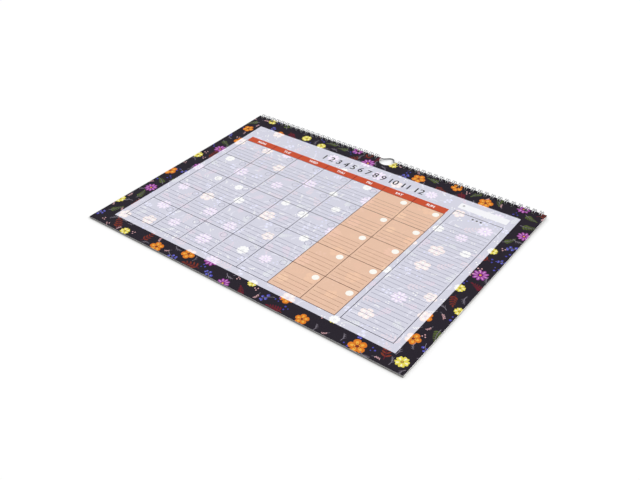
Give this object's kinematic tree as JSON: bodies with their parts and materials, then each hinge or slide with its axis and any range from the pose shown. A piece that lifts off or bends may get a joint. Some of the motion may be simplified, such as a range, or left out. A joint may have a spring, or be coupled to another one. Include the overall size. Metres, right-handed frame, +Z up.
{
  "type": "monthly planner",
  "caption": "Landscape wire-bound monthly wall planner: punched sheets on a stiff back card, twin-loop wire along the top edge and a swinging wire hanger in a thumb notch.",
  "frame": {"origin": "on the desk under the middle of the sheets, in the plane of the back card's flat underside", "axes": "+X along the binding in reading direction, +Y towards the binding, +Z up off the desk"},
  "size_m": [0.42, 0.3075, 0.0075],
  "materials": {
    "card": "bare grey board",
    "paper": "smooth uncoated paper, printed in colour on the top sheet",
    "binding_wire": "silver coated wire",
    "hanger_wire": "bright drawn steel wire"
  },
  "bodies": {
    "pad": {"back_card": "card", "binding_wire_left": "binding_wire", "binding_wire_right": "binding_wire"},
    "pages": {"page_block": "paper"},
    "hanger": {"hanger": "hanger_wire"}
  },
  "joints": [
    {"name": "page_turn", "type": "hinge", "parent": "pad", "child": "pages", "pos_m": [0, 0.1482, 0.00383], "axis": [-1, 0, 0], "range_deg": [0, 180]},
    {"name": "hanger_swing", "type": "hinge", "parent": "pad", "child": "hanger", "pos_m": [0, 0.14945, 0.00253], "axis": [1, 0, 0], "range_deg": [0, 202]}
  ]
}
